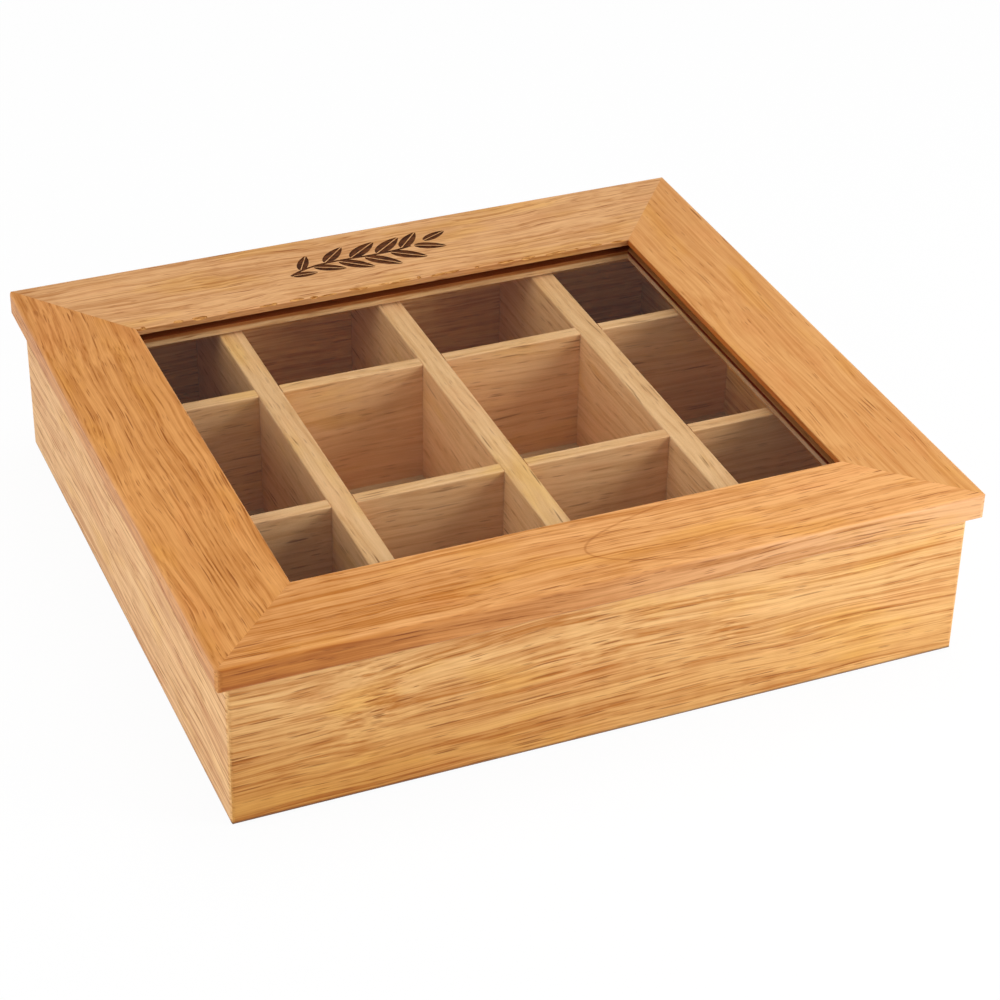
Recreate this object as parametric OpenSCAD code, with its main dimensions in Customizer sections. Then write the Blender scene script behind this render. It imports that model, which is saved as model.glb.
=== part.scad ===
// Tea bag organizer box: a mitred wooden case with twelve compartments, under a
// hinged frame lid that holds a clear pane.
// Millimetres. The origin is the centre of the foot, X runs to the right,
// Y to the back and Z up.

/* [Case] */
// Outside width of the case, left to right
case_w = 325; // [290:1:380]
// Outside depth of the case, front to back
case_d = 304; // [260:1:360]
// Height of the four walls
case_h = 69; // [55:1:100]
// Thickness of the four walls
wall_t = 12; // [11:0.5:15]
// Radius of the upright outside corners
case_corner_r = 2; // [0.5:0.5:4]
// Radius round the foot of the walls
foot_r = 2; // [0.5:0.5:3]
// Radius on both edges of the rim
rim_r = 0.8; // [0.3:0.1:1.2]

/* [Bottom panel] */
// Thickness of the plywood panel
panel_t = 4; // [3:0.5:6]
// Height of the panel's underside above the foot
panel_lift = 5; // [3:0.5:10]
// Depth of the groove that holds the panel
panel_groove = 5; // [3:0.5:6]

/* [Dividers] */
// Thickness of the three dividers that run front to back
long_t = 11.2; // [8:0.1:15]
// Thickness of the two dividers that run left to right
cross_t = 6.5; // [5:0.5:12]
// Depth of the housings in the walls that take the dividers' ends
housing = 3; // [2:0.5:4]
// Depth of the dividers' tops below the rim
divider_drop = 0.6; // [0:0.1:3]
// Radius on the top edges of the dividers
divider_edge_r = 0.8; // [0.3:0.1:1.5]

/* [Lid frame] */
// How far the lid stands out past the walls, all round
overhang = 5; // [4.5:0.5:8]
// Thickness of the lid frame
lid_t = 12; // [11:0.5:16]
// Width of the front rail
front_rail_w = 45; // [35:1:60]
// Width of the left and right rails
side_rail_w = 45; // [35:1:60]
// Width of the back rail
back_rail_w = 56; // [35:1:70]
// Radius on the outside edges, top and bottom
lid_edge_r = 2; // [1:0.5:3]
// Radius of the upright outside corners
lid_corner_r = 3; // [1:0.5:5]
// Radius on both arrises round the window
window_edge_r = 0.6; // [0.2:0.1:1]
// Gap between the closed lid and the rim
lid_gap = 0.3; // [0.2:0.1:0.8]

/* [Pane] */
// Thickness of the clear pane
pane_t = 2; // [1.5:0.5:4]
// Depth of the pane's upper face below the top of the frame
pane_drop = 5.3; // [4.5:0.1:6]
// Play over the pane, which lies loose on the lower lip of its groove
pane_play = 2.2; // [1:0.1:2.5]
// Depth of the groove that holds the pane
pane_groove = 6; // [4:0.5:8]
// Room for the pane to grow, on each edge in its groove
pane_room = 0.5; // [0.2:0.1:1]

/* [Mitre splines] */
// Thickness of the loose splines in the mitres
spline_t = 3; // [2:0.5:3.5]
// Length of a lid spline along its mitre
lid_spline_l = 32; // [20:1:36]
// Width of a lid spline across its mitre
lid_spline_w = 14; // [8:1:18]
// Distance from the lid's outside corner to the spline
lid_spline_in = 12; // [10:1:16]
// Width of a wall spline across its mitre
wall_spline_w = 8; // [6:0.5:9]
// Distance from the inside corner of the case to the middle of a wall spline
wall_spline_in = 6.5; // [6:0.5:9]
// Depth of a wall spline's top below the rim
wall_spline_drop = 7; // [3:1:20]
// Height of a wall spline's foot above the bottom panel
wall_spline_lift = 3; // [1:0.5:5]

/* [Hinges] */
// Distance from each end of the case to the middle of its hinge
hinge_inset = 52.5; // [44:0.5:60]
// Length of a hinge along its pin
hinge_l = 32; // [25:1:45]
// Thickness of a leaf
leaf_t = 0.8; // [0.6:0.1:1]
// Width of a leaf from the pin's axis
leaf_w = 9.5; // [8:0.5:10.5]
// Outside radius of the knuckles
knuckle_r = 1.6; // [1.4:0.1:1.8]
// Radius of the pin
pin_r = 0.8; // [0.6:0.05:0.9]
// Angle to which the lid opens, where its overhang comes to the back wall
lid_opening = 110; // [100:1:120]
// Gap between neighbouring knuckles
knuckle_gap = 0.25; // [0.2:0.05:0.5]

/* [Hinge screws] */
// Radius of a screw's head
head_r = 2; // [1.6:0.1:2.2]
// Height of the countersunk head
head_h = 1; // [0.8:0.1:1.2]
// Radius of the shank
shank_r = 1.1; // [0.8:0.1:1.2]
// Length of a screw, head and point included
screw_l = 8; // [6:0.5:9.5]
// Distance between the two screws of a leaf
screw_spacing = 20; // [14:1:22]
// Distance of the screws from the pin's axis
screw_set = 5.5; // [4.5:0.5:6.5]

/* [Fits] */
// Clearance on each side of a divider in its housings and half laps
divider_fit = 0.1; // [0.05:0.05:0.3]
// Clearance round the bottom panel in its groove
groove_fit = 0.2; // [0.1:0.05:0.4]
// Clearance round a spline in its slot
spline_fit = 0.1; // [0.05:0.05:0.3]
// Clearance round a leaf in its recess
leaf_fit = 0.15; // [0.1:0.05:0.4]
// Clearance round the knuckles in the wood
knuckle_fit = 0.3; // [0.2:0.05:0.4]
// Gap between the two leaves when the lid is shut
leaf_gap = 0.2; // [0.1:0.05:0.3]
// Radial clearance of the pin in the turning knuckles
pin_run = 0.05; // [0.02:0.01:0.1]
// Radial clearance of the pin in the knuckles that hold it
pin_hold = 0.02; // [0.01:0.01:0.05]
// Clearance round a screw in its hole
screw_fit = 0.08; // [0.05:0.01:0.2]
// Gap left between the overhang and the back wall when the lid is fully open
stop_gap = 0.3; // [0.2:0.05:0.6]

/* [Hidden] */
$fn = 64;

// How far a cutter runs past the face that it opens
past = 1;

lid_wood = "#cf9250";
case_wood = "#dcab68";
divider_wood = "#dcbe92";
plywood = "#d8bd90";
spline_wood = "#c9a673";
clear_acrylic = "#cfe0dc80";
brass = "#b99a4c";

// Inside of the case
inner_w = case_w - 2 * wall_t;
inner_d = case_d - 2 * wall_t;
panel_top = panel_lift + panel_t;
inner_h = case_h - panel_top;
divider_h = inner_h - divider_drop;
wall_spline_h = case_h - wall_spline_drop - panel_top - wall_spline_lift;

// Four compartments across and three deep, all alike
long_count = 3;
cross_count = 2;
cell_w = (inner_w - long_count * long_t) / (long_count + 1);
cell_d = (inner_d - cross_count * cross_t) / (cross_count + 1);
long_x = [for (i = [0 : long_count - 1]) (i - (long_count - 1) / 2) * (cell_w + long_t)];
cross_y = [for (i = [0 : cross_count - 1]) (i - (cross_count - 1) / 2) * (cell_d + cross_t)];

// Lid
lid_w = case_w + 2 * overhang;
lid_d = case_d + 2 * overhang;
lid_z = case_h + lid_gap;
pane_z = lid_t - pane_drop - pane_t;
window_w = lid_w - 2 * side_rail_w;
window_d = lid_d - front_rail_w - back_rail_w;
window_y = (front_rail_w - back_rail_w) / 2;

// Hinge pin, level with the middle of the gap under the lid. It stands so far behind
// the back wall that the rounded lower edge of the overhang reaches the wall, less the
// gap, as the lid comes to its full opening.
stop_rise = lid_edge_r + lid_gap / 2;
stop_reach = (overhang - lid_edge_r) * cos(lid_opening) + stop_rise * sin(lid_opening);
pin_set = (lid_edge_r + stop_gap - stop_reach) / (1 - cos(lid_opening));
axis_y = case_d / 2 + pin_set;
axis_z = case_h + lid_gap / 2;
hinge_x = case_w / 2 - hinge_inset;
knuckle_count = 5;
knuckle_l = (hinge_l - (knuckle_count - 1) * knuckle_gap) / knuckle_count;
CASE_KNUCKLES = [0, 2, 4];
LID_KNUCKLES = [1, 3];

// Flat shapes

// The waste outside a round of radius r in the corner at the origin
module corner_waste(r) {
    difference() {
        translate([-past, -past]) square(r + past);
        translate([r, r]) circle(r);
    }
}

// Rectangle from the origin with its own radius at each corner:
// near the origin, at the far end of x, at the far corner, at the far end of y
module eased_rectangle(w, h, radii) {
    difference() {
        square([w, h]);
        corner_waste(radii[0]);
        translate([w, 0]) mirror([1, 0]) corner_waste(radii[1]);
        translate([w, h]) rotate(180) corner_waste(radii[2]);
        translate([0, h]) mirror([0, 1]) corner_waste(radii[3]);
    }
}

// Plan of a mitred piece with its outside edge on the X axis. Each mitre runs from
// the outside corner to the inside corner, so it depends on the piece that it meets.
module mitred_plan(length, width, left_w, right_w) {
    left_slope = left_w / width;
    right_slope = right_w / width;
    polygon([
        [-length / 2 - past * left_slope, -past],
        [length / 2 + past * right_slope, -past],
        [length / 2 - right_w - past * right_slope, width + past],
        [-length / 2 + left_w + past * left_slope, width + past]
    ]);
}

// Placing

// Stands a flat section up in the YZ plane and runs it along X, centred
module run_along_x(length) {
    rotate([90, 0, 90]) linear_extrude(length, center = true) children();
}

// Puts a piece made at the front on one side of a w by d rectangle
module on_side(side, w, d) {
    if (side == "front") translate([0, -d / 2]) children();
    if (side == "back") translate([0, d / 2]) rotate(180) children();
    if (side == "left") translate([-w / 2, 0]) rotate(-90) children();
    if (side == "right") translate([w / 2, 0]) rotate(90) children();
}

// A mitred length of moulding with its outside face on the XZ plane, its section
// given as the child, and its outside corners rounded in plan
module mitred_length(length, width, height, left_w, right_w, corner_r) {
    difference() {
        intersection() {
            run_along_x(length) children();
            translate([0, 0, -past])
                linear_extrude(height + 2 * past) mitred_plan(length, width, left_w, right_w);
        }
        for (end = [0, 1])
            mirror([end, 0, 0]) translate([-length / 2, 0, -past])
                linear_extrude(height + 2 * past) corner_waste(corner_r);
    }
}

// Splines

// Loose splines in the four corners of the case, across the mitres
module wall_splines(grow) {
    for (sx = [0, 1], sy = [0, 1])
        mirror([sx, 0, 0]) mirror([0, sy, 0])
            translate([inner_w / 2, inner_d / 2, panel_top + wall_spline_lift - grow])
                rotate(45)
                    translate([wall_spline_in - spline_t / 2 - grow, -wall_spline_w / 2 - grow, 0])
                        cube([
                            spline_t + 2 * grow,
                            wall_spline_w + 2 * grow,
                            wall_spline_h + 2 * grow
                        ]);
}

// Loose splines in the four mitres of the lid, at half its thickness
module lid_splines(grow) {
    for (sx = [0, 1], sy = [0, 1])
        mirror([sx, 0, 0]) mirror([0, sy, 0])
            translate([lid_w / 2, lid_d / 2, lid_z + lid_t / 2])
                rotate(180 + atan2(sy == 0 ? back_rail_w : front_rail_w, side_rail_w))
                    translate([
                        lid_spline_in - grow,
                        -lid_spline_w / 2 - grow,
                        -spline_t / 2 - grow
                    ])
                        cube([
                            lid_spline_l + 2 * grow,
                            lid_spline_w + 2 * grow,
                            spline_t + 2 * grow
                        ]);
}

// Case

// Section of a wall: outside face at x = 0, with the panel's groove inside
module wall_section() {
    difference() {
        eased_rectangle(wall_t, case_h, [foot_r, rim_r, rim_r, rim_r]);
        translate([wall_t - panel_groove, panel_lift])
            square([panel_groove + past, panel_t + groove_fit]);
    }
}

// One wall, made at the front, with a housing for each divider that ends in it
module wall(length, places, thickness) {
    difference() {
        mitred_length(length, wall_t, case_h, wall_t, wall_t, case_corner_r) wall_section();
        for (x = places)
            translate([
                x - thickness / 2 - divider_fit,
                wall_t - housing,
                panel_top
            ])
                cube([thickness + 2 * divider_fit, housing + past, inner_h + past]);
    }
}

module wall_front() {
    color(case_wood) difference() {
        on_side("front", case_w, case_d) wall(case_w, long_x, long_t);
        wall_splines(spline_fit);
    }
}

module wall_back() {
    color(case_wood) difference() {
        on_side("back", case_w, case_d) wall(case_w, long_x, long_t);
        wall_splines(spline_fit);
        case_hinge_recesses();
    }
}

module wall_left() {
    color(case_wood) difference() {
        on_side("left", case_w, case_d) wall(case_d, cross_y, cross_t);
        wall_splines(spline_fit);
    }
}

module wall_right() {
    color(case_wood) difference() {
        on_side("right", case_w, case_d) wall(case_d, cross_y, cross_t);
        wall_splines(spline_fit);
    }
}

module wall_mitre_splines() {
    color(spline_wood) wall_splines(0);
}

// Plywood panel lying on the lower lip of its groove
module bottom_panel() {
    reach = panel_groove - groove_fit;
    color(plywood)
        translate([-inner_w / 2 - reach, -inner_d / 2 - reach, panel_lift])
            cube([inner_w + 2 * reach, inner_d + 2 * reach, panel_t]);
}

// Dividers

// Upright board along X, centred, with its top edges eased
module divider_board(span, thickness) {
    top_r = divider_edge_r;
    translate([0, 0, panel_top])
        run_along_x(span + 2 * (housing - divider_fit))
            translate([-thickness / 2, 0])
                difference() {
                    square([thickness, divider_h]);
                    translate([0, divider_h]) mirror([0, 1]) corner_waste(top_r);
                    translate([thickness, divider_h]) rotate(180) corner_waste(top_r);
                }
}

// Front to back divider: its lower half is notched over the cross dividers
module long_divider(x) {
    lap_w = cross_t + 2 * divider_fit;
    color(divider_wood)
        translate([x, 0]) difference() {
            rotate(90) divider_board(inner_d, long_t);
            for (y = cross_y)
                translate([-long_t / 2 - past, y - lap_w / 2, panel_top - past])
                    cube([long_t + 2 * past, lap_w, divider_h / 2 + divider_fit + past]);
        }
}

// Left to right divider: its upper half is notched round the long dividers
module cross_divider(y) {
    lap_w = long_t + 2 * divider_fit;
    color(divider_wood)
        translate([0, y]) difference() {
            divider_board(inner_w, cross_t);
            for (x = long_x)
                translate([x - lap_w / 2, -cross_t / 2 - past, panel_top + divider_h / 2])
                    cube([lap_w, cross_t + 2 * past, divider_h / 2 + past]);
        }
}

module divider_long_left() {
    long_divider(long_x[0]);
}

module divider_long_middle() {
    long_divider(long_x[1]);
}

module divider_long_right() {
    long_divider(long_x[2]);
}

module divider_cross_front() {
    cross_divider(cross_y[0]);
}

module divider_cross_back() {
    cross_divider(cross_y[1]);
}

// Lid

// Section of a rail: outside face at x = 0, with the pane's groove inside
module rail_section(width) {
    difference() {
        eased_rectangle(width, lid_t, [lid_edge_r, window_edge_r, window_edge_r, lid_edge_r]);
        translate([width - pane_groove, pane_z])
            square([pane_groove + past, pane_t + pane_play]);
    }
}

// One rail on its side of the lid; left and right are as seen from outside it
module rail(side, length, width, left_w, right_w) {
    color(lid_wood) difference() {
        translate([0, 0, lid_z])
            on_side(side, lid_w, lid_d)
                mitred_length(length, width, lid_t, left_w, right_w, lid_corner_r)
                    rail_section(width);
        lid_splines(spline_fit);
        if (side == "back") lid_hinge_recesses();
    }
}

module rail_front() {
    rail("front", lid_w, front_rail_w, side_rail_w, side_rail_w);
}

module rail_back() {
    rail("back", lid_w, back_rail_w, side_rail_w, side_rail_w);
}

module rail_left() {
    rail("left", lid_d, side_rail_w, back_rail_w, front_rail_w);
}

module rail_right() {
    rail("right", lid_d, side_rail_w, front_rail_w, back_rail_w);
}

module lid_mitre_splines() {
    color(spline_wood) lid_splines(0);
}

// Clear pane lying on the lower lip of its groove
module window_pane() {
    reach = pane_groove - pane_room;
    color(clear_acrylic)
        translate([
            -window_w / 2 - reach,
            window_y - window_d / 2 - reach,
            lid_z + pane_z
        ])
            cube([window_w + 2 * reach, window_d + 2 * reach, pane_t]);
}

// Hinges

// Moves to the pin's axis of the left (-1) or right (1) hinge
module at_hinge(side) {
    translate([side * hinge_x, axis_y, axis_z]) children();
}

// Section of a leaf about the pin: the case leaf lies below the pin's plane, and the
// lid leaf, with up = 1, above it
module leaf_section(up, bore_r) {
    difference() {
        union() {
            circle(knuckle_r);
            mirror([0, up == 1 ? 0 : 1])
                translate([-leaf_w, leaf_gap / 2]) square([leaf_w, leaf_t]);
        }
        circle(bore_r);
    }
}

// Countersunk screw with the top of its head at the origin, pointing down
module screw(grow) {
    rotate_extrude()
        polygon([
            [0, 0],
            [head_r + grow, 0],
            [shank_r + grow, -head_h - grow],
            [shank_r + grow, -screw_l + shank_r],
            [0, -screw_l - grow]
        ]);
}

// The two screws of one leaf, about the pin's axis
module leaf_screws(up, grow) {
    for (sx = [-1, 1])
        mirror([0, 0, up]) translate([sx * screw_spacing / 2, -screw_set, -leaf_gap / 2])
            screw(grow);
}

// One leaf with its own knuckles; its plate stops short of the other leaf's knuckles
module leaf(up, knuckles, bore_r) {
    plate_w = leaf_w - knuckle_r - knuckle_gap;
    color(brass) difference() {
        union() {
            for (i = knuckles)
                translate([(i - (knuckle_count - 1) / 2) * (knuckle_l + knuckle_gap), 0])
                    run_along_x(knuckle_l) leaf_section(up, bore_r);
            mirror([0, 0, 1 - up]) translate([-hinge_l / 2, -leaf_w, leaf_gap / 2])
                cube([hinge_l, plate_w, leaf_t]);
        }
        leaf_screws(up, screw_fit);
    }
}

// Wood cut away for one leaf, its screws and all the knuckles
module leaf_recess(up) {
    recess_l = hinge_l + 2 * leaf_fit;
    mirror([0, 0, 1 - up])
        translate([-recess_l / 2, -leaf_w - leaf_fit, -past])
            cube([recess_l, leaf_w + leaf_fit, past + leaf_gap / 2 + leaf_t]);
    run_along_x(recess_l) circle(knuckle_r + knuckle_fit);
    leaf_screws(up, screw_fit);
}

module case_hinge_recesses() {
    for (side = [-1, 1]) at_hinge(side) leaf_recess(0);
}

module lid_hinge_recesses() {
    for (side = [-1, 1]) at_hinge(side) leaf_recess(1);
}

module hinge_case_leaf(side) {
    at_hinge(side) leaf(0, CASE_KNUCKLES, pin_r + pin_hold);
}

module hinge_lid_leaf(side) {
    at_hinge(side) leaf(1, LID_KNUCKLES, pin_r + pin_run);
}

module hinge_pin(side) {
    color(brass) at_hinge(side) run_along_x(hinge_l) circle(pin_r);
}

module hinge_case_screws() {
    color(brass) for (side = [-1, 1]) at_hinge(side) leaf_screws(0, 0);
}

module hinge_lid_screws() {
    color(brass) for (side = [-1, 1]) at_hinge(side) leaf_screws(1, 0);
}

wall_front();
wall_back();
wall_left();
wall_right();
wall_mitre_splines();
bottom_panel();
divider_long_left();
divider_long_middle();
divider_long_right();
divider_cross_front();
divider_cross_back();
rail_front();
rail_back();
rail_left();
rail_right();
lid_mitre_splines();
window_pane();
hinge_case_leaf(-1);  // hinge_left_case_leaf
hinge_lid_leaf(-1);  // hinge_left_lid_leaf
hinge_pin(-1);  // hinge_left_pin
hinge_case_leaf(1);  // hinge_right_case_leaf
hinge_lid_leaf(1);  // hinge_right_lid_leaf
hinge_pin(1);  // hinge_right_pin
hinge_case_screws();
hinge_lid_screws();
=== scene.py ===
import math

import bmesh
import bpy
from mathutils import Matrix, Vector


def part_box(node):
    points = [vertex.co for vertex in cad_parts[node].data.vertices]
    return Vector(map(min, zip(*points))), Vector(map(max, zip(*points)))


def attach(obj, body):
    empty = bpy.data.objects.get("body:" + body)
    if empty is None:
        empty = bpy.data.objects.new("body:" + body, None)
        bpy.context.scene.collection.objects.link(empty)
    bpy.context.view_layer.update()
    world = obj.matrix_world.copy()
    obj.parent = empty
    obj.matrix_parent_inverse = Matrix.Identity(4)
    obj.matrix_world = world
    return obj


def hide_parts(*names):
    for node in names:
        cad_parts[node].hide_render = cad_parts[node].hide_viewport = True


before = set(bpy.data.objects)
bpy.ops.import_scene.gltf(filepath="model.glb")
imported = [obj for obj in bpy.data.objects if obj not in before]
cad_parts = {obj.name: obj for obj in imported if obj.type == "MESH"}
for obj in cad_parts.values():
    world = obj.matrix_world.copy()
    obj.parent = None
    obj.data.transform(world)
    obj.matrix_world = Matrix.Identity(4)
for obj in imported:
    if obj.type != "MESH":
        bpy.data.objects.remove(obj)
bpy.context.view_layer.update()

# Camera
# It stands in front of the box's left corner, over a metre off and well above the lid,
# with a long lens, as for a catalogue picture.
scene = bpy.context.scene
scene.view_settings.view_transform = "Standard"

CAMERA_PLACE = (-0.3968446, -0.9560664, 0.701375)
CAMERA_TURN = 0.4064
CAMERA_TILT = 0.5806
CAMERA_ROLL = 0.0210
LENS = 98.94
SENSOR = 36.0

camera_data = bpy.data.cameras.new("camera")
camera_data.lens = LENS
camera_data.sensor_width = SENSOR
camera = bpy.data.objects.new("camera", camera_data)
scene.collection.objects.link(camera)
aim = (
    Matrix.Rotation(-CAMERA_TURN, 4, "Z")
    @ Matrix.Rotation(math.pi / 2 - CAMERA_TILT, 4, "X")
    @ Matrix.Rotation(CAMERA_ROLL, 4, "Z")
)
camera.matrix_world = Matrix.Translation(CAMERA_PLACE) @ aim
scene.camera = camera

# Floor, backdrop and lamps
# The box stands on a matt white sweep in a white room, under a soft light at its right
# and two broader, weaker ones at its left and above. The sweep shows nearly white and
# keeps a soft shadow.
FLOOR_SIZE = 8.0
FLOOR_DROP = 0.0001
FLOOR_WHITE = 0.86
FLOOR_GLOW = 0.95
ROOM_LIGHT = 0.44
CEILING = 0.10
CEILING_RISE = (0.25, 0.45)
WHITE = (1.0, 1.0, 1.0, 1.0)


def shade(tree, kind, inputs=None, **settings):
    """Adds a node, sets its options, and fills its inputs with values or with outputs."""
    made = tree.nodes.new(kind)
    for name, value in settings.items():
        setattr(made, name, value)
    for key, value in (inputs or {}).items():
        if isinstance(value, bpy.types.NodeSocket):
            tree.links.new(value, made.inputs[key])
        else:
            made.inputs[key].default_value = value
    return made


def calc(tree, operation, *values, clamp=False):
    """A Math node's result."""
    inputs = dict(enumerate(values))
    return shade(
        tree, "ShaderNodeMath", inputs, operation=operation, use_clamp=clamp
    ).outputs[0]


def seen_directly(tree):
    """1 for what the camera sees, straight or in metal and glass."""
    path = shade(tree, "ShaderNodeLightPath").outputs
    straight = calc(tree, "MAXIMUM", path["Is Camera Ray"], path["Is Glossy Ray"])
    return calc(tree, "MAXIMUM", straight, path["Is Transmission Ray"])


world = bpy.data.worlds.new("white_room")
world.use_nodes = True
room = world.node_tree
room.nodes.clear()
path = shade(room, "ShaderNodeLightPath").outputs
toward = shade(room, "ShaderNodeTexCoord").outputs["Generated"]
rise = shade(room, "ShaderNodeSeparateXYZ", {0: toward}).outputs[2]
ceiling = shade(
    room,
    "ShaderNodeMapRange",
    {
        "Value": rise,
        "From Min": CEILING_RISE[0],
        "From Max": CEILING_RISE[1],
        "To Min": 1.0,
        "To Max": CEILING,
    },
    interpolation_type="SMOOTHSTEP",
).outputs[0]
mirrored = calc(room, "MAXIMUM", path["Is Glossy Ray"], path["Is Transmission Ray"])
for_mirrors = shade(
    room, "ShaderNodeMix", {"Factor": mirrored, "A": ROOM_LIGHT, "B": ceiling}
).outputs["Result"]
brightness = shade(
    room, "ShaderNodeMix", {"Factor": path["Is Camera Ray"], "A": for_mirrors, "B": 1.0}
).outputs["Result"]
walls = shade(room, "ShaderNodeBackground", {"Color": WHITE, "Strength": brightness})
shade(room, "ShaderNodeOutputWorld", {"Surface": walls.outputs[0]})
scene.world = world

sweep = bpy.data.materials.new("white_sweep")
sweep.use_nodes = True
tree = sweep.node_tree
tree.nodes.clear()
matt = shade(
    tree, "ShaderNodeBsdfDiffuse", {"Color": (FLOOR_WHITE, FLOOR_WHITE, FLOOR_WHITE, 1)}
)
glow = shade(tree, "ShaderNodeEmission", {"Color": WHITE, "Strength": 1.0})
lift = calc(tree, "MULTIPLY", seen_directly(tree), FLOOR_GLOW)
pale = shade(tree, "ShaderNodeMixShader", {0: lift, 1: matt.outputs[0], 2: glow.outputs[0]})
below = shade(tree, "ShaderNodeNewGeometry").outputs["Backfacing"]
clear = shade(tree, "ShaderNodeBsdfTransparent")
one_sided = shade(
    tree, "ShaderNodeMixShader", {0: below, 1: pale.outputs[0], 2: clear.outputs[0]}
)
shade(tree, "ShaderNodeOutputMaterial", {"Surface": one_sided.outputs[0]})

floor_mesh = bpy.data.meshes.new("floor")
half = FLOOR_SIZE / 2
floor_mesh.from_pydata(
    [(x * half, y * half, -FLOOR_DROP) for x, y in ((-1, -1), (1, -1), (1, 1), (-1, 1))],
    [],
    [(0, 1, 2, 3)],
)
floor_mesh.materials.append(sweep)
floor = bpy.data.objects.new("floor", floor_mesh)
scene.collection.objects.link(floor)


def soft_light(name, place, target, size, watts):
    """A square lamp that faces its target."""
    lamp = bpy.data.lights.new(name, "AREA")
    lamp.size = size
    lamp.energy = watts
    made = bpy.data.objects.new(name, lamp)
    scene.collection.objects.link(made)
    made.location = place
    facing = Vector(target) - Vector(place)
    made.rotation_euler = facing.to_track_quat("-Z", "Y").to_euler()
    return made


soft_light(
    "key_right", place=(0.64, -0.60, 0.40), target=(0.12, -0.1, 0.05), size=0.45, watts=5.4
)
fills = (
    soft_light(
        "fill_left", place=(-1.1, -0.1, 0.6), target=(0.0, 0.0, 0.05), size=0.9, watts=6.4
    ),
    soft_light(
        "top_fill", place=(0.30, 0.25, 1.5), target=(0.0, 0.0, 0.0), size=1.0, watts=9.4
    ),
)
for fill in fills:
    fill.visible_glossy = False
    fill.visible_transmission = False

# Case walls
# Four boards of oiled hardwood, mitred and splined at the corners, with the grain
# running round the case. Long dark pores show as fine streaks along each board.
MM = 1000.0


def paint(red, green, blue):
    """A colour as it looks on a screen, 0 to 255 each, in the numbers that shaders take."""
    shares = [c / 255 for c in (red, green, blue)]
    return (
        *[s / 12.92 if s <= 0.04045 else ((s + 0.055) / 1.055) ** 2.4 for s in shares],
        1.0,
    )


def vector_calc(tree, operation, *values, output=0):
    """A Vector Math node's result."""
    inputs = dict(enumerate(values))
    return shade(tree, "ShaderNodeVectorMath", inputs, operation=operation).outputs[output]


def step(tree, value, low, high, to_low=0.0, to_high=1.0):
    """A soft step of value between low and high."""
    return shade(
        tree,
        "ShaderNodeMapRange",
        {
            "Value": value,
            "From Min": low,
            "From Max": high,
            "To Min": to_low,
            "To Max": to_high,
        },
        interpolation_type="SMOOTHSTEP",
    ).outputs[0]


def blend(tree, share, a, b, mode="MIX"):
    """One colour over another, by a share from 0 to 1."""
    made = shade(
        tree,
        "ShaderNodeMix",
        {0: share, 6: a, 7: b},
        data_type="RGBA",
        blend_type=mode,
    )
    return made.outputs[2]


def triple(tree, x=0.0, y=0.0, z=0.0):
    """A vector of three numbers."""
    return shade(tree, "ShaderNodeCombineXYZ", {0: x, 1: y, 2: z}).outputs[0]


def noise(tree, place, detail=2.0, roughness=0.5):
    """Smooth noise, about 0.5 on average."""
    return shade(
        tree,
        "ShaderNodeTexNoise",
        {"Vector": place, "Scale": 1.0, "Detail": detail, "Roughness": roughness},
    ).outputs


def spot_on(tree):
    """Where a point lies on the object, in millimetres."""
    object_place = shade(tree, "ShaderNodeTexCoord").outputs["Object"]
    return vector_calc(tree, "MULTIPLY", object_place, (MM, MM, MM))


HONEY = (1.0, 0.97, 0.66, 1.0)
ROSY = (1.0, 0.92, 0.90, 1.0)
PATCH_EDGES = (0.52, 0.72)
HONEY_SHARE = 0.75
ROSY_SHARE = 0.6
# Lengths of the figure's features along and across the grain, in millimetres
SLOW_BENDS = (170.0, 70.0)
CLOSE_BENDS = (30.0, 11.0)
CLOUDS = (240.0, 16.0)
LINES = (150.0, 1.8)
FIBRES = (45.0, 0.8)
SHIMMER = (9.0, 20.0)
PATCHES = (55.0, 17.0)
# How far the fibres bend aside, in millimetres
SLOW_REACH = 16.0
CLOSE_REACH = 2.2
# What each feature adds to the darkness of the wood
LEAST_TONE = 0.06
RING_TONE = 0.14
CLOUD_TONE = 0.10
LINE_TONE = 0.42
FIBRE_TONE = 0.22
SHIMMER_TONE = 0.20
# Pores: length, width, and how much of the width is open
LONG_PORES = (32.0, 1.5, 0.34)
FINE_PORES = (11.0, 0.9, 0.36)
FINE_PORE_DEPTH = 0.7
PORE_DARKNESS = 0.8
# The surface
ARRIS_SLANT = (0.80, 0.995)
LEAST_ROUGHNESS = 0.38
FIBRE_ROUGHNESS = 0.16
PORE_ROUGHNESS = 0.25
WORN_ROUGHNESS = -0.1
RELIEF = {"Strength": 0.5, "Distance": 0.0001}


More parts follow.
